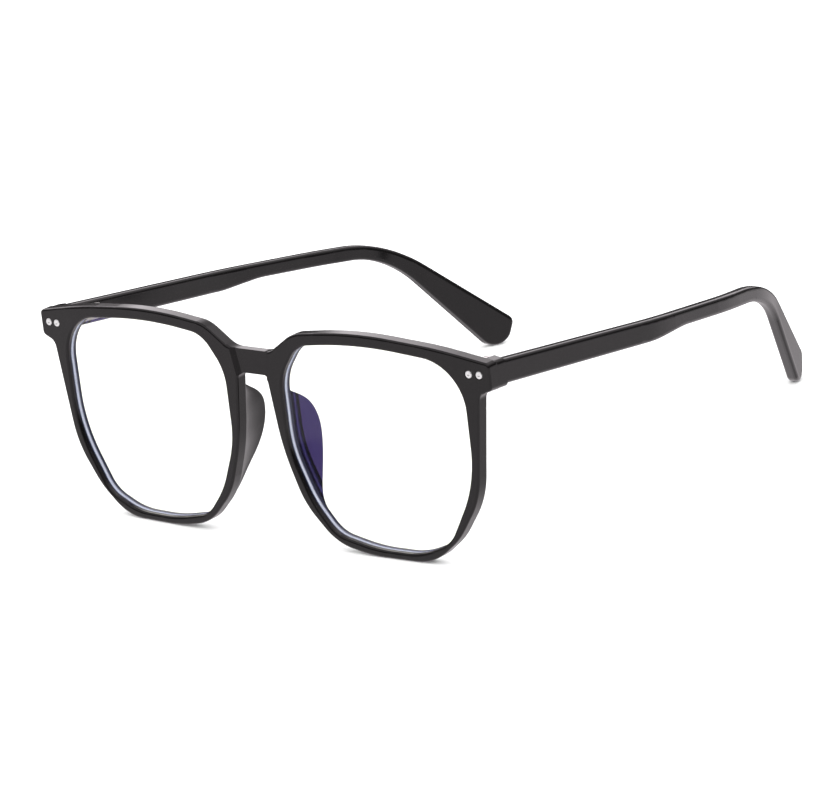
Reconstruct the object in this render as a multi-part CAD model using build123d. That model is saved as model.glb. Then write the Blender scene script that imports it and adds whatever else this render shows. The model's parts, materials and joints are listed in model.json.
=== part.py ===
from build123d import *
import math
import os

# Blue light glasses: a full-rim front in glossy black plastic, two clear coated lenses in
# V grooves, moulded nose pads, and two wire-cored temples on five-knuckle riveted hinges.
#
# Millimetres.  +Z is up, the front faces -Y, the temples run back along +Y, and +X is the
# wearer's left.  The glasses stand open on the two rim bottoms and the two temple tips.
#
# While it is modelled, the middle of the bridge is at X 0, the foremost line of the front is
# at Y 0 and the hinge centres are at Z 0.  place_all() then moves everything so that the
# origin is the bottom centre of the bounding box.  Only the left half is modelled; the right
# half is its mirror image.

# ---------------------------------------------------------------- front
HALF_WIDTH = 69.4            # middle of the bridge to the outer side of an end piece
FRONT_RADIUS = 820.0         # the front wraps round an upright cylinder
FRONT_THICKNESS = 3.4
EDGE_ROUND = 0.55
BLANK_DEPTH = 20.0           # the sheet it is cut from: more than the depth and height of the front
BLANK_HEIGHT = 120.0

BRIDGE_TOP = 0.45
BRIDGE_BOTTOM = -5.45
BRIDGE_STEP = 1.0            # the bridge's face lies behind the faces of the rims
BRIDGE_STEP_TAPER = -45.0

END_PIECE_BACK = 9.0         # the temples butt against this plane
END_PIECE_THICKNESS = 3.05
END_PIECE_DROP = 4.0         # degrees by which it slopes down towards the back
END_PIECE_HEIGHT = 8.6       # more than its height, to take all of the outline there

# corners of the outlines, across and up, each with the radius of its round stretch
OUTLINE = [
    (6.0, BRIDGE_TOP, 7), (13.6, 5.7, 9), (31.3, 7.73, 110), (54.8, 5.73, 120),
    (HALF_WIDTH, 3.17, 1.2), (HALF_WIDTH, -3.0, 1.3), (65.7, -4.4, 2.2), (62.4, -29.7, 22),
    (55.6, -39.8, 20), (47.6, -46.4, 14), (29.8, -46.4, 45), (19.8, -44.4, 14),
    (11.4, -35.7, 20), (6.7, -22.7, 50), (4.5, BRIDGE_BOTTOM, 1.8),
]
APERTURE = [
    (8.7, -5.3, 12), (14.6, 2.9, 8), (32.6, 4.95, 110), (61.6, 2.05, 12), (61.6, -25.5, 32),
    (53.1, -40.9, 9), (44.2, -44.65, 20), (31.4, -44.65, 45), (20.0, -42.35, 9),
    (13.9, -35.0, 25), (8.7, -22.6, 25),
]
BRIDGE_FACE = [(5.2, 1.6), (3.7, -6.4)]      # upper and lower end of the step, half widths

# ---------------------------------------------------------------- lenses and pads
LENS_DEPTH = 1.0             # face of the lens behind the face of the rim
LENS_THICKNESS = 2.1
LENS_GAP = 0.02
BEVEL_DEPTH = 1.4
BEVEL_WIDTH = 0.8
BEVEL_REACH = 0.6            # the bevel runs this far into the rim
BEVEL_SLOPE = (0.46, 0.5)    # its chamfers: share of its width, and inward

PAD_START = 2.7              # the pads are cut off where they meet the back of the rim
PAD_ROOT = 1.4               # thickness at the rim
PAD_EDGE = 0.7               # half thickness at the free edge
PAD_FLARE = 0.4              # sideways over back, where a pad leaves the rim
# up, across at the rim, then depth and across of the free edge
PAD_SECTIONS = [
    (-9.2, 5.1, 3.9, 6.7), (-10.6, 5.3, 6.1, 6.9), (-12.2, 5.5, 8.5, 7.2),
    (-14.2, 5.8, 10.5, 7.5), (-16.7, 6.1, 11.6, 8.0), (-19.8, 6.6, 11.9, 8.6),
    (-23.0, 7.1, 11.3, 9.2), (-27.0, 8.4, 9.6, 10.2), (-31.0, 9.9, 7.2, 11.5),
    (-34.5, 11.4, 5.3, 12.7), (-37.5, 13.3, 4.2, 14.6), (-40.0, 15.6, 3.5, 16.6),
]

# ---------------------------------------------------------------- hinges
PIN_ACROSS = 64.5
PIN_BACK = 8.55
BARREL_RADIUS = 1.45
KNUCKLE = 0.86
RUNNING_GAP = 0.05           # between knuckles, and round the screw in the moving ones
SCREW_RADIUS = 0.7
SCREW_HEAD_RADIUS = 1.15
SCREW_HEAD_HEIGHT = 0.6
SLOT_WIDTH = 0.3

LEAF_THICKNESS = 0.8
LEAF_HALF_HEIGHT = 2.25
FRONT_LEAF_BACK = 6.1
FRONT_LEAF_SPAN = (61.8, 67.7)
TEMPLE_LEAF_OUTER = 66.25
TEMPLE_LEAF_SPAN = (9.75, 19.5)
TEMPLE_LEAF_SCREWS = [(12.8, -0.45), (17.0, -1.05)]      # back and up
LEAF_SCREW_RADIUS = 0.5
LEAF_SCREW_HEAD_RADIUS = 0.95
LEAF_SCREW_HEAD_HEIGHT = 0.45
LEAF_SCREW_REACH = 1.7       # into the temple

RIVETS_ACROSS = {"outer": 66.5, "inner": 63.7}
RIVETS_UP = 0.45             # above the middle of the hinge
RIVET_HEAD_RADIUS = 0.88
RIVET_SEAT_GAP = 0.2         # ring left open round the head
RIVET_HEAD_HEIGHT = 0.5
RIVET_SHANK_RADIUS = 0.6
RIVET_PROUD = 0.18           # the head stands over the face of the end piece
RIVET_DIMPLE_RADIUS = 0.6
RIVET_DIMPLE_OFFSET = 0.45   # centre of the dimple's sphere in front of the head

# ---------------------------------------------------------------- temples
BUTT_GAP = 0.06
TEMPLE_THICKNESS = 3.2
TEMPLE_ROUND = 1.0
BLANK_WIDTH = 80.0           # more than the half width of the glasses
# middle line seen from above: corners across and back, with the radius of each bend
TEMPLE_PLAN = [(67.62, 4.0), (67.62, 66.0), (64.7, 97.5), (60.4, 119.8), (44.0, 154.2)]
TEMPLE_PLAN_BENDS = [150, 110, 60]
# outline seen from the side: corners back and up, each with the radius of its round stretch
TEMPLE_SIDE = [
    (4.0, 3.3, 0), (119.8, -11.6, 40), (150.6, -40.4, 2.0), (147.0, -50.97, 4.2),
    (119.6, -15.5, 28), (77.5, -10.05, 40), (65.0, -9.9, 40), (4.0, -2.6, 0),
]

CORE_RADIUS = 0.65
CORE_LINE = [(67.62, 26.0, -1.15), (67.62, 65.8, -6.6), (64.7, 97.2, -10.65),
             (60.4, 118.9, -13.45), (49.9, 141.7, -36.6)]
CORE_BENDS = [120, 90, 36]


def front_face_depth(across):
    """Depth of the face of the wrapped front at a distance from the middle."""
    return FRONT_RADIUS - (FRONT_RADIUS**2 - across**2) ** 0.5


def outline_face():
    """The front's outline with no lens openings."""
    corners = [(across, up) for across, up, _ in OUTLINE]
    edge = FilletPolyline(
        (0, BRIDGE_TOP), *corners, (0, BRIDGE_BOTTOM), radius=[r for *_, r in OUTLINE]
    )
    half = make_face([edge, Line((0, BRIDGE_BOTTOM), (0, BRIDGE_TOP))])
    return half + mirror(half, about=Plane.YZ)


def aperture_face(margin):
    """The left lens opening, grown by a margin on all sides."""
    corners = [(across, up) for across, up, _ in APERTURE]
    edge = FilletPolyline(*corners, radius=[r for *_, r in APERTURE], close=True)
    face = make_face(edge)
    return offset(face, margin) if margin else face


def wrapped(face, depth, thickness):
    """A face drawn across and up, as a sheet of the wrapped front."""
    block = extrude(Plane.XZ * face, amount=BLANK_DEPTH, both=True)
    outside = Cylinder(FRONT_RADIUS - depth, BLANK_HEIGHT)
    inside = Cylinder(FRONT_RADIUS - depth - thickness, BLANK_HEIGHT)
    return block & (Pos(0, FRONT_RADIUS, 0) * (outside - inside))


def round_edges(sheet):
    """All edges of a sheet but the short ones through its thickness."""
    return ShapeList(
        e for e in sheet.edges()
        if e.geom_type != GeomType.LINE or abs(e.tangent_at(0).Y) < 0.99
    )


def bevel_ridge(margin):
    """V-shaped ridge round a lens; a margin above 0 gives the rim's groove."""
    width = BEVEL_WIDTH + 2 * margin
    ridge = wrapped(aperture_face(BEVEL_REACH + margin), BEVEL_DEPTH - margin, width)
    share, inward = BEVEL_SLOPE
    return chamfer(round_edges(ridge), share * width, inward)


def box(x, y, z):
    """Box between two values on each axis."""
    size = [abs(b - a) for a, b in (x, y, z)]
    middle = [(a + b) / 2 for a, b in (x, y, z)]
    return Pos(*middle) * Box(*size)


def knuckle_heights():
    """Bottom of each of the five knuckles, from the lowest up."""
    pitch = KNUCKLE + RUNNING_GAP
    lowest = -(5 * KNUCKLE + 4 * RUNNING_GAP) / 2
    return [lowest + pitch * i for i in range(5)]


def upright_rod(radius, bottom, top):
    return Pos(PIN_ACROSS, PIN_BACK, (bottom + top) / 2) * Cylinder(radius, top - bottom)


def knuckles(which, arm_across, arm_back, bore):
    """Barrels with the arms that carry them, bored for the screw."""
    solid = None
    for i in which:
        bottom = knuckle_heights()[i]
        top = bottom + KNUCKLE
        one = upright_rod(BARREL_RADIUS, bottom, top) + box(arm_across, arm_back, (bottom, top))
        solid = one if solid is None else solid + one
    return solid - upright_rod(bore, -5, 5)


def rod_back(across, up, radius, front, back):
    """Round rod that runs straight back."""
    middle = Pos(across, (front + back) / 2, up)
    return middle * Rot(90, 0, 0) * Cylinder(radius, back - front)


# ---------------------------------------------------------------- sub-parts, left side
def front_frame():
    aperture = aperture_face(0)
    openings = aperture + mirror(aperture, about=Plane.YZ)
    sheet = wrapped(outline_face() - openings, 0, FRONT_THICKNESS)
    sheet = fillet(round_edges(sheet), EDGE_ROUND)

    (top_half, top), (bottom_half, bottom) = BRIDGE_FACE
    step = make_face(
        Polyline((-top_half, top), (top_half, top), (bottom_half, bottom), (-bottom_half, bottom),
                 close=True)
    )
    cutter = extrude(Plane.XZ.offset(-BRIDGE_STEP) * step, amount=3, taper=BRIDGE_STEP_TAPER)
    sheet -= cutter

    end_piece_inner = HALF_WIDTH - END_PIECE_THICKNESS
    beyond = Rectangle(END_PIECE_THICKNESS + 1, END_PIECE_HEIGHT, align=(Align.MIN, Align.CENTER))
    end_strip = outline_face() & Pos(end_piece_inner, 0) * beyond
    end_start = front_face_depth(HALF_WIDTH) + EDGE_ROUND + 0.05
    reach = END_PIECE_BACK - end_start
    drop = reach * math.tan(math.radians(END_PIECE_DROP))
    end_piece = loft([
        (Pos(0, end_start, 0) * (Plane.XZ * end_strip)).face(),
        (Pos(0, END_PIECE_BACK, -drop) * (Plane.XZ * end_strip)).face(),
    ])
    seat = box(FRONT_LEAF_SPAN, (FRONT_LEAF_BACK - LEAF_THICKNESS, END_PIECE_BACK + 1),
               (-LEAF_HALF_HEIGHT, LEAF_HALF_HEIGHT))
    cuts = [bevel_ridge(0), seat]
    for across in RIVETS_ACROSS.values():
        face = front_face_depth(across)
        head_seat = face - RIVET_PROUD + RIVET_HEAD_HEIGHT
        seat_radius = RIVET_HEAD_RADIUS + RIVET_SEAT_GAP
        cuts.append(rod_back(across, RIVETS_UP, seat_radius, face - 1, head_seat))
        cuts.append(rod_back(across, RIVETS_UP, RIVET_SHANK_RADIUS, face - 1, FRONT_LEAF_BACK))
    sheet += [end_piece, mirror(end_piece, about=Plane.YZ)]
    for cut in cuts:
        sheet -= [cut, mirror(cut, about=Plane.YZ)]
    return sheet


def lens():
    body = wrapped(aperture_face(-LENS_GAP), LENS_DEPTH, LENS_THICKNESS)
    return body + bevel_ridge(-LENS_GAP)


def nose_pad(front):
    """Flange that flares back from the nose side of the rim."""
    sections = []
    for up, root, depth, edge in PAD_SECTIONS:
        side = depth - PAD_EDGE
        nose_root = (root, PAD_START, up)
        nose_end = (edge - PAD_EDGE, side, up)
        lens_end = (edge + PAD_EDGE, side, up)
        lens_root = (root + PAD_ROOT, PAD_START, up)
        sections.append(make_face([
            Spline(nose_root, nose_end, tangents=[(PAD_FLARE, 1, 0), (0, 1, 0)]),
            ThreePointArc(nose_end, (edge, depth, up), lens_end),
            Spline(lens_end, lens_root, tangents=[(0, -1, 0), (-PAD_FLARE, -1, 0)]),
            Line(lens_root, nose_root),
        ]))
    trimmed = loft(sections) - front
    return trimmed.solids().sort_by(SortBy.VOLUME)[-1]


def front_hinge_leaf():
    plate = box(FRONT_LEAF_SPAN, (FRONT_LEAF_BACK - LEAF_THICKNESS, FRONT_LEAF_BACK),
                (-LEAF_HALF_HEIGHT, LEAF_HALF_HEIGHT))
    arm_across = (PIN_ACROSS - BARREL_RADIUS, PIN_ACROSS + BARREL_RADIUS - 0.2)
    arm_back = (FRONT_LEAF_BACK, PIN_BACK)
    leaf = plate + knuckles([2, 4], arm_across, arm_back, SCREW_RADIUS + RUNNING_GAP)
    leaf += knuckles([0], arm_across, arm_back, SCREW_RADIUS)
    for across in RIVETS_ACROSS.values():
        leaf -= rod_back(across, RIVETS_UP, RIVET_SHANK_RADIUS, 0, FRONT_LEAF_BACK)
    return leaf


def front_rivet(across):
    face = front_face_depth(across) - RIVET_PROUD
    head = rod_back(across, RIVETS_UP, RIVET_HEAD_RADIUS, face, face + RIVET_HEAD_HEIGHT)
    head = fillet(head.edges().sort_by(Axis.Y)[0], RIVET_PROUD)
    shank = rod_back(across, RIVETS_UP, RIVET_SHANK_RADIUS, face, FRONT_LEAF_BACK)
    dimple_centre = face - RIVET_DIMPLE_OFFSET
    return head + shank - Pos(across, dimple_centre, RIVETS_UP) * Sphere(RIVET_DIMPLE_RADIUS)


def hinge_screw():
    """Slotted screw down through the knuckles, threaded into the lowest one."""
    bottom = knuckle_heights()[0]
    top = knuckle_heights()[4] + KNUCKLE
    head = upright_rod(SCREW_HEAD_RADIUS, top, top + SCREW_HEAD_HEIGHT)
    head = fillet(head.edges().sort_by(Axis.Z)[-1], 0.2)
    slot = Pos(PIN_ACROSS, PIN_BACK, top + SCREW_HEAD_HEIGHT) * Box(4, SLOT_WIDTH, 0.5)
    return upright_rod(SCREW_RADIUS, bottom, top) + head - slot


def temple_hinge_leaf():
    front, back = TEMPLE_LEAF_SPAN
    side = [(front, -LEAF_HALF_HEIGHT), (back, -3.3), (back, 0.55), (front, LEAF_HALF_HEIGHT)]
    plate = extrude(
        Plane.YZ.offset(TEMPLE_LEAF_OUTER - LEAF_THICKNESS) * make_face(Polyline(side, close=True)),
        amount=LEAF_THICKNESS,
    )
    arm_across = (PIN_ACROSS + 0.2, TEMPLE_LEAF_OUTER)
    leaf = plate + knuckles([1, 3], arm_across, (PIN_BACK, front + 0.8), SCREW_RADIUS + RUNNING_GAP)
    for back, up in TEMPLE_LEAF_SCREWS:
        leaf -= Pos(TEMPLE_LEAF_OUTER, back, up) * Rot(0, 90, 0) * Cylinder(LEAF_SCREW_RADIUS, 4)
    return leaf


def temple_leaf_screw(back, up):
    """Slotted screw through the temple's leaf, from the inner side."""
    inner = TEMPLE_LEAF_OUTER - LEAF_THICKNESS
    head = Rot(0, 90, 0) * Cylinder(LEAF_SCREW_HEAD_RADIUS, LEAF_SCREW_HEAD_HEIGHT)
    head = Pos(inner - LEAF_SCREW_HEAD_HEIGHT / 2, back, up) * head
    head = fillet(head.edges().sort_by(Axis.X)[0], 0.15)
    length = LEAF_THICKNESS + LEAF_SCREW_REACH
    shank = Pos(inner + length / 2, back, up) * Rot(0, 90, 0) * Cylinder(LEAF_SCREW_RADIUS, length)
    slot = Pos(inner - LEAF_SCREW_HEAD_HEIGHT, back, up) * Box(0.4, SLOT_WIDTH, 3)
    return head + shank - slot


def temple_core():
    """Round steel wire that lets the ear part be bent to fit."""
    line = FilletPolyline(*CORE_LINE, radius=CORE_BENDS)
    section = Plane(origin=line @ 0, z_dir=line % 0) * Circle(CORE_RADIUS)
    return sweep(section, path=line)


def temple(core, leaf, screws):
    """Side outline crossed with the bent strip seen from above, edges rounded."""
    corners = [(back, up) for back, up, _ in TEMPLE_SIDE]
    side = make_face(FilletPolyline(*corners, radius=[r for *_, r in TEMPLE_SIDE], close=True))
    middle_line = FilletPolyline(*TEMPLE_PLAN, radius=TEMPLE_PLAN_BENDS)
    strip = trace(middle_line, line_width=TEMPLE_THICKNESS)
    body = extrude(strip, amount=BLANK_HEIGHT / 2, both=True)
    body &= extrude(Plane.YZ * side, amount=BLANK_WIDTH)
    butt = END_PIECE_BACK + BUTT_GAP
    body = split(body, Plane.XZ.offset(-butt), keep=Keep.BOTTOM)
    long_edges = [
        e for e in body.edges()
        if e.center().Y > butt + 0.01
        and not (e.geom_type == GeomType.LINE and abs(e.tangent_at(0).X) > 0.8)
    ]
    return fillet(long_edges, TEMPLE_ROUND) - core - leaf - screws


def place_all(parts):
    """Put the origin at the bottom centre of the bounding box."""
    boxes = [p.bounding_box() for p in parts.values()]
    front = min(b.min.Y for b in boxes)
    back = max(b.max.Y for b in boxes)
    bottom = min(b.min.Z for b in boxes)
    return {name: Pos(0, -(front + back) / 2, -bottom) * p for name, p in parts.items()}


frame = front_frame()
left = {
    "lens": lens(),
    "nose_pad": nose_pad(frame),
    "front_hinge_leaf": front_hinge_leaf(),
    "hinge_screw": hinge_screw(),
    "temple_hinge_leaf": temple_hinge_leaf(),
    "temple_core": temple_core(),
}
for name, across in RIVETS_ACROSS.items():
    left[f"front_rivet_{name}"] = front_rivet(across)
leaf_screws = [temple_leaf_screw(back, up) for back, up in TEMPLE_LEAF_SCREWS]
left["temple_screw_front"], left["temple_screw_rear"] = leaf_screws
left["temple"] = temple(left["temple_core"], left["temple_hinge_leaf"], leaf_screws)

parts = {"front_frame": frame}
for name, solid in left.items():
    parts[f"{name}_left"] = solid
    parts[f"{name}_right"] = mirror(solid, about=Plane.YZ)

os.makedirs("parts", exist_ok=True)
for name, solid in place_all(parts).items():
    export_step(solid, f"parts/{name}.step")
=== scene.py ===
import json
import math

import bpy
from mathutils import Matrix, Vector


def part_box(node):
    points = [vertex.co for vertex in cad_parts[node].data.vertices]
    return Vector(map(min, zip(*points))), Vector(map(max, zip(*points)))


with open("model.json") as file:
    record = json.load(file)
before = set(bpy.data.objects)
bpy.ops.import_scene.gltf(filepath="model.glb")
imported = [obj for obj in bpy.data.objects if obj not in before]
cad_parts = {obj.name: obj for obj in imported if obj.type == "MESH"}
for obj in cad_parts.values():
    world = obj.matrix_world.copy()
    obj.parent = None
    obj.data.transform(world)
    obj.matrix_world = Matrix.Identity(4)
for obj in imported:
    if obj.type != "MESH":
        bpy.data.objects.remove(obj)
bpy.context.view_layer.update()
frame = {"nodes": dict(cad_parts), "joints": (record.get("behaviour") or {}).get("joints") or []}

# Blue light glasses standing open on a pale floor.  Metres, +Z up, the front faces -Y and
# +X is the wearer's left.  The CAD nodes keep their shapes; this file gives them their
# materials, the studio and the camera.

MM = 0.001
NODES = frame["nodes"]
FRONT_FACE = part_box("front_frame")[0].y                      # its foremost points, by the bridge
HINGE_HEIGHT = next(j["pos_m"][2] for j in frame["joints"] if j["child"] == "left_temple")
WRAP_RADIUS = 820 * MM                                       # of the front, round an upright axis

# ---------------------------------------------------------------- camera
AZIMUTH, ELEVATION, ROLL = math.radians(41.208), math.radians(16.909), math.radians(-6.837)
DISTANCE = 1.0721
FOCAL_LENGTH = 200.0
AIM_RIGHT, AIM_UP = 0.03900, -0.01060       # the picture's centre, measured from the bridge
AIM_DROP = 0.00035                          # the bridge's aiming point, below the hinges
CLIP = (0.01, 50)

# ---------------------------------------------------------------- studio
FLOOR_HALF = 4.0
OPEN_AIR = 1.9                    # strength of the plain white light
GLOSS = 2.9                       # strength of what the gloss mirrors
WARM = (1.0, 0.94, 0.97, 1)       # and its tint
SOFT_BOX_TURN = (-0.82, 0.57)     # level direction of the soft box, across and back
SOFT_BOX_EDGE = [(0.62, 0.0), (0.80, 1.0)]     # cosine of the turn away from it
# brightness by height, from straight down at 0 through level at 0.5 to straight up at 1
SOFT_BOX = [(0.0, 0.5), (0.33, 0.2), (0.40, 0.04), (0.57, 0.03), (0.61, 0.74), (0.71, 0.68),
            (0.8, 0.25), (1.0, 0.2)]
TABLE_AND_WALLS = [(0.0, 0.27), (0.27, 0.28), (0.33, 0.295), (0.42, 0.24), (0.49, 0.18),
                   (0.53, 0.03), (0.65, 0.03), (0.92, 0.3), (1.0, 0.35)]
BEHIND = [(0.82, 0.62), (0.97, 1.0)]           # the table is brighter straight behind
BEHIND_GAIN = 1.6
LEAST_LEVEL = 0.05                # keeps the turn defined near straight up and down

# ---------------------------------------------------------------- plastic
BLACK = (0.0022, 0.0019, 0.0020)
BLACK_VARIES = (0.75, 1.3)        # darkest and lightest share of it, from place to place
PLASTIC_IOR = 1.47
FRONT_ROUGHNESS, TEMPLE_ROUGHNESS = 0.10, 0.12
TONE_SCALE, TONE_BAND = 260.0, (0.3, 0.7)      # every scale is in waves per metre
HAZE_SCALE, CLEAR_SHARE = 90.0, 0.5            # share of the roughness where there is no haze
WAVE_SCALE, WAVE_HEIGHT = 420.0, 0.6           # flow waves of the moulding
LINE_SCALE, LINE_HALF_WIDTH = 900.0, 0.006     # hairlines left by the tumbling
LINE_STRETCH, LINE_TURN = (1, 0.04, 1), (0.3, 0.2, 0.9)
LINE_ROUGHNESS, LINE_HEIGHT = 0.05, -0.2
PLASTIC_RELIEF = (0.05, 0.05 * MM)             # strength and depth of the bump

# ---------------------------------------------------------------- lens
LENS_FACE = 1.0 * MM              # depth of its face behind the front's
LENS_THICKNESS = 2.1 * MM
LIT_EDGE = (0.50 * MM, 1.12 * MM)              # where the edge, frosted by grinding, gets a painted highlight band for the light it catches
LIT_FADE = 0.2 * MM
EDGE_NORMAL = 0.9                 # a face that points less than this along Y is the edge
INNER_HALF = 0.5                  # share of the thickness from which a face is the inner one
SMEAR_SCALE, SMEARS = 60.0, [(0.35, 0.01), (0.75, 0.05)]     # roughness of the faces
LENS_PASSES = (0.982, 0.989, 0.935, 1)         # what one face lets through
FROST_SCALE = 2500.0
# painted highlight: the frosted edge's colour, pale lavender and raised to stand in for the light the
# edge catches
FROSTED_EDGE_AND_PAINTED_GLOW = [(0.3, (0.44, 0.46, 0.60, 1)), (0.7, (0.54, 0.56, 0.69, 1))]
LENS_SHADE = (0.004, 0.005, 0.026, 1)          # painted shade on the rest of its edge, seen through it
FROST_ROUGHNESS, SHADE_ROUGHNESS = 0.55, 0.4
OUTER_MIRRORS = (0.006, 0.006, 0.010, 1)       # what the plain outer face sends back
INNER_MIRRORS = (0.056, 0.041, 0.172, 1)       # and the coated inner one

# ---------------------------------------------------------------- metals
# colour, roughness, metallic and the pieces of each
METALS = {
    "hinge_steel": ((0.62, 0.61, 0.60), 0.28, 1.0, ("front_hinge_leaf", "temple_hinge_leaf")),
    "screw_steel": ((0.68, 0.67, 0.66), 0.22, 1.0,
                    ("hinge_screw", "temple_screw_front", "temple_screw_rear")),
    "rivet_metal": ((0.93, 0.93, 0.93), 0.2, 0.8, ("front_rivet_outer", "front_rivet_inner")),
    "core_steel": ((0.55, 0.55, 0.56), 0.3, 1.0, ("temple_core",)),
}
BRUSH_SCALE, BRUSH_STRETCH = 4000.0, (1, 0.06, 1)
SPOT_SCALE = 700.0
BRUSH_SHARE, SPOT_SHARE = 0.6, 0.4             # of each in the colour
METAL_DARK = 0.8                  # darkest share of a metal's colour
METAL_BAND = (0.3, 0.65)          # where the pattern goes from dark to full colour
METAL_ROUGHNESS = (0.75, 0.5)     # share of the roughness that is there, and that lines add
METAL_RELIEF = (0.15, 0.02 * MM)               # strength and depth of the bump

# ---------------------------------------------------------------- floor
FLOOR_SCALE, FLOOR_GREYS = 40.0, [(0.3, 0.90), (0.7, 0.92)]


# ---------------------------------------------------------------- node helpers
class Nodes:
    """A material's or world's node tree, with short calls to add and join nodes."""

    def __init__(self, owner):
        owner.use_nodes = True
        self.tree = owner.node_tree
        self.tree.nodes.clear()

    def add(self, kind, links=None, **values):
        """A node of that kind; links and values fill its inputs, or its properties."""
        node = self.tree.nodes.new(kind)
        for name, value in values.items():
            setattr(node, name, value)
        for name, value in (links or {}).items():
            socket = node.inputs[name]
            if isinstance(value, bpy.types.NodeSocket):
                self.tree.links.new(value, socket)
            else:
                socket.default_value = value
        return node

    def shader(self, kind, links, **values):
        return self.add(kind, links, **values).outputs[0]

    def math(self, operation, a, b=0.0):
        return self.add("ShaderNodeMath", {0: a, 1: b}, operation=operation).outputs[0]

    def mix_colours(self, factor, a, b, blend="MIX"):
        links = {0: factor, 6: a, 7: b}
        return self.add("ShaderNodeMix", links, data_type="RGBA", blend_type=blend).outputs[2]

    def ramp(self, factor, stops):
        """Colour ramp; stops are (position, grey or colour)."""
        node = self.add("ShaderNodeValToRGB", {"Fac": factor})
        elements = node.color_ramp.elements
        while len(elements) < len(stops):
            elements.new(0.5)
        for element, (position, colour) in zip(elements, stops):
            element.position = position
            element.color = colour if isinstance(colour, tuple) else (colour, colour, colour, 1)
        return node.outputs["Color"]

    def noise(self, vector, scale, detail=3.0):
        links = {"Vector": vector, "Scale": scale, "Detail": detail}
        return self.add("ShaderNodeTexNoise", links).outputs["Fac"]

    def bump(self, height, strength, distance):
        links = {"Height": height, "Strength": strength, "Distance": distance}
        return self.add("ShaderNodeBump", links).outputs[0]

    def split(self, vector):
        """The X, Y and Z of a vector."""
        return self.add("ShaderNodeSeparateXYZ", {0: vector}).outputs

    def place(self, stretch=(1, 1, 1), turn=(0, 0, 0)):
        """The object's own coordinates, stretched and turned."""
        at = self.add("ShaderNodeTexCoord").outputs["Object"]
        links = {"Vector": at, "Scale": stretch, "Rotation": turn}
        return self.add("ShaderNodeMapping", links).outputs["Vector"]


def material(name):
    made = bpy.data.materials.new(name)
    return made, Nodes(made)


# ---------------------------------------------------------------- materials
def polished_plastic(name, roughness):
    """Injection-moulded, tumbled black plastic: soft flow waves, haze and hairlines."""
    made, nodes = material(name)
    at = nodes.place()
    haze = nodes.noise(at, HAZE_SCALE)
    dark, light = (tuple(share * c for c in BLACK) for share in BLACK_VARIES)
    tones = zip(TONE_BAND, ((*dark, 1), (*light, 1)))
    colour = nodes.ramp(nodes.noise(at, TONE_SCALE), list(tones))
    lines = nodes.noise(nodes.place(stretch=LINE_STRETCH, turn=LINE_TURN), LINE_SCALE, detail=2.0)
    edges = (0.5 - LINE_HALF_WIDTH, 0.5 + LINE_HALF_WIDTH)
    hairlines = nodes.ramp(lines, [(edges[0], 0.0), (0.5, 1.0), (edges[1], 0.0)])
    marks = nodes.math("ADD", nodes.math("MULTIPLY", hairlines, LINE_ROUGHNESS), CLEAR_SHARE * roughness)
    rough = nodes.math("ADD", nodes.math("MULTIPLY", haze, roughness), marks)
    waves = nodes.math("MULTIPLY", nodes.noise(at, WAVE_SCALE, detail=1.0), WAVE_HEIGHT)
    height = nodes.math("ADD", waves, nodes.math("MULTIPLY", hairlines, LINE_HEIGHT))
    shader = nodes.shader("ShaderNodeBsdfPrincipled", {
        "Base Color": colour, "Roughness": rough, "IOR": PLASTIC_IOR,
        "Normal": nodes.bump(height, *PLASTIC_RELIEF),
    })
    nodes.add("ShaderNodeOutputMaterial", {"Surface": shader})
    return made


def coated_lens(name):
    """Clear lens with a violet-blue coating; its edge, frosted by grinding, carries a painted highlight
    band, with painted shade on the rest of the edge.
    """
    made, nodes = material(name)
    at = nodes.split(nodes.add("ShaderNodeTexCoord").outputs["Object"])
    across_squared = nodes.math("MULTIPLY", at["X"], at["X"])
    wrap = nodes.math("DIVIDE", across_squared, 2 * WRAP_RADIUS)
    depth = nodes.math("SUBTRACT", nodes.math("SUBTRACT", at["Y"], FRONT_FACE), wrap)
    share = nodes.math("DIVIDE", nodes.math("SUBTRACT", depth, LENS_FACE), LENS_THICKNESS)

    clear = nodes.shader("ShaderNodeBsdfTransparent", {"Color": LENS_PASSES})
    rough = nodes.ramp(nodes.noise(nodes.place(), SMEAR_SCALE), SMEARS)
    panes = []
    for colour in (OUTER_MIRRORS, INNER_MIRRORS):
        mirror = nodes.shader("ShaderNodeBsdfGlossy", {"Color": colour, "Roughness": rough})
        panes.append(nodes.shader("ShaderNodeAddShader", {0: clear, 1: mirror}))
    inner = nodes.math("GREATER_THAN", share, INNER_HALF)
    pane = nodes.shader("ShaderNodeMixShader", {0: inner, 1: panes[0], 2: panes[1]})

    # the band of the edge's depth that gets the painted highlight; the rest of the edge gets painted
    # shade
    start, end = (place / LENS_THICKNESS for place in LIT_EDGE)
    fade = LIT_FADE / LENS_THICKNESS
    lit = nodes.ramp(share, [(start - fade, 0.0), (start, 1.0), (end, 1.0), (end + fade, 0.0)])
    frost_and_painted_glow = nodes.ramp(nodes.noise(nodes.place(), FROST_SCALE), FROSTED_EDGE_AND_PAINTED_GLOW)
    # a shader with the painted highlight colour for the band, and one with painted shade for the rest of
    # the edge
    frosted_painted_glow, shade = (
        nodes.shader("ShaderNodeBsdfPrincipled", {"Base Color": colour, "Roughness": roughness})
        for colour, roughness in ((frost_and_painted_glow, FROST_ROUGHNESS), (LENS_SHADE, SHADE_ROUGHNESS))
    )
    edge = nodes.shader("ShaderNodeMixShader", {0: lit, 1: shade, 2: frosted_painted_glow})

    facing = nodes.split(nodes.add("ShaderNodeNewGeometry").outputs["Normal"])
    side = nodes.math("LESS_THAN", nodes.math("ABSOLUTE", facing["Y"]), EDGE_NORMAL)
    both = nodes.shader("ShaderNodeMixShader", {0: side, 1: pane, 2: edge})
    nodes.add("ShaderNodeOutputMaterial", {"Surface": both})
    return made


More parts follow.
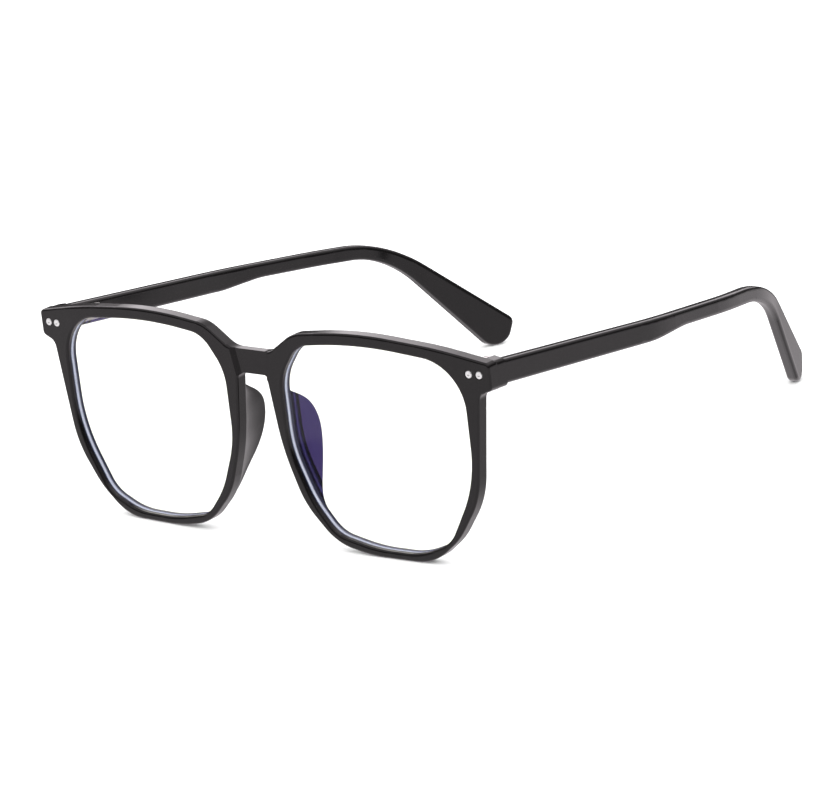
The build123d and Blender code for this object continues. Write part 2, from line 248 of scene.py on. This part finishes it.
def brushed_metal(name, colour, roughness, metallic):
    """Stamped or turned metal with fine lines along one direction."""
    made, nodes = material(name)
    lines = nodes.noise(nodes.place(stretch=BRUSH_STRETCH), BRUSH_SCALE, detail=4.0)
    spots = nodes.math("MULTIPLY", nodes.noise(nodes.place(), SPOT_SCALE), SPOT_SHARE)
    pattern = nodes.math("ADD", nodes.math("MULTIPLY", lines, BRUSH_SHARE), spots)
    dark = tuple(METAL_DARK * c for c in colour)
    shade = nodes.ramp(pattern, list(zip(METAL_BAND, ((*dark, 1), (*colour, 1)))))
    least, added = (share * roughness for share in METAL_ROUGHNESS)
    rough = nodes.math("ADD", nodes.math("MULTIPLY", lines, added), least)
    shader = nodes.shader("ShaderNodeBsdfPrincipled", {
        "Base Color": shade, "Metallic": metallic, "Roughness": rough,
        "Normal": nodes.bump(lines, *METAL_RELIEF),
    })
    nodes.add("ShaderNodeOutputMaterial", {"Surface": shader})
    return made


def dress(made, slot, *names):
    """Give a material to these nodes."""
    for name in names:
        node = NODES[name]
        node.data.materials.clear()
        node.data.materials.append(made)


def both_sides(*names):
    return [f"{name}_{side}" for name in names for side in ("left", "right")]


# ---------------------------------------------------------------- studio and camera
def floor():
    """Pale matt table top, far larger than the view, and left out of the gloss."""
    made, nodes = material("floor")
    grain = nodes.ramp(nodes.noise(nodes.place(), FLOOR_SCALE), FLOOR_GREYS)
    shader = nodes.shader("ShaderNodeBsdfDiffuse", {"Color": grain})
    nodes.add("ShaderNodeOutputMaterial", {"Surface": shader})

    corners = [(x * FLOOR_HALF, y * FLOOR_HALF, 0) for x, y in ((-1, -1), (1, -1), (1, 1), (-1, 1))]
    mesh = bpy.data.meshes.new("floor")
    mesh.from_pydata(corners, [], [(0, 1, 2, 3)])
    mesh.materials.append(made)
    plane = bpy.data.objects.new("floor", mesh)
    bpy.context.scene.collection.objects.link(plane)
    plane.visible_glossy = False


def studio():
    """White tent, dimmed for the gloss alone: a soft box low behind on the wearer's right, dark
    walls beside it, and a pale table that is brightest straight behind."""
    world = bpy.data.worlds.new("studio")
    bpy.context.scene.world = world
    nodes = Nodes(world)
    way = nodes.split(nodes.add("ShaderNodeTexCoord").outputs["Generated"])
    up = way["Z"]
    height = nodes.math("ADD", nodes.math("MULTIPLY", up, 0.5), 0.5)
    level = nodes.math("SQRT", nodes.math("SUBTRACT", 1.0, nodes.math("MULTIPLY", up, up)))
    level = nodes.math("MAXIMUM", level, LEAST_LEVEL)

    across, back = (nodes.math("MULTIPLY", way[axis], turn) for axis, turn in zip("XY", SOFT_BOX_TURN))
    towards_box = nodes.math("DIVIDE", nodes.math("ADD", across, back), level)
    behind = nodes.ramp(nodes.math("DIVIDE", way["Y"], level), BEHIND)
    table = nodes.mix_colours(1.0, nodes.ramp(height, TABLE_AND_WALLS), behind, "MULTIPLY")
    table = nodes.math("MULTIPLY", table, BEHIND_GAIN)
    in_box = nodes.ramp(towards_box, SOFT_BOX_EDGE)
    mirrored = nodes.mix_colours(in_box, table, nodes.ramp(height, SOFT_BOX))
    mirrored = nodes.mix_colours(1.0, mirrored, WARM, "MULTIPLY")

    gloss = nodes.shader("ShaderNodeBackground", {"Color": mirrored, "Strength": GLOSS})
    open_air = nodes.shader("ShaderNodeBackground", {"Color": (1, 1, 1, 1), "Strength": OPEN_AIR})
    path = nodes.add("ShaderNodeLightPath").outputs["Is Glossy Ray"]
    both = nodes.shader("ShaderNodeMixShader", {0: path, 1: open_air, 2: gloss})
    nodes.add("ShaderNodeOutputWorld", {"Surface": both})


def camera():
    back = Vector((math.sin(AZIMUTH) * math.cos(ELEVATION), -math.cos(AZIMUTH) * math.cos(ELEVATION),
                   math.sin(ELEVATION)))
    level = Vector((math.cos(AZIMUTH), math.sin(AZIMUTH), 0))
    upright = back.cross(level)
    c, s = math.cos(ROLL), math.sin(ROLL)
    right = c * level + s * upright
    up = c * upright - s * level
    aim = Vector((0, FRONT_FACE, HINGE_HEIGHT - AIM_DROP)) + AIM_RIGHT * right + AIM_UP * up

    data = bpy.data.cameras.new("camera")
    data.lens = FOCAL_LENGTH
    data.clip_start, data.clip_end = CLIP
    made = bpy.data.objects.new("camera", data)
    turn = Matrix((right, up, back)).transposed().to_4x4()
    made.matrix_world = Matrix.Translation(aim + DISTANCE * back) @ turn
    bpy.context.scene.collection.objects.link(made)
    bpy.context.scene.camera = made


# ---------------------------------------------------------------- the scene
dress(polished_plastic("front_plastic", FRONT_ROUGHNESS), "front_plastic", "front_frame",
      *both_sides("nose_pad"))
dress(polished_plastic("temple_plastic", TEMPLE_ROUGHNESS), "temple_plastic", *both_sides("temple"))
dress(coated_lens("coated_lens"), "coated_lens", *both_sides("lens"))
for name, (colour, roughness, metallic, pieces) in METALS.items():
    dress(brushed_metal(name, colour, roughness, metallic), name, *both_sides(*pieces))

floor()
studio()
camera()
bpy.context.scene.view_settings.view_transform = "Standard"
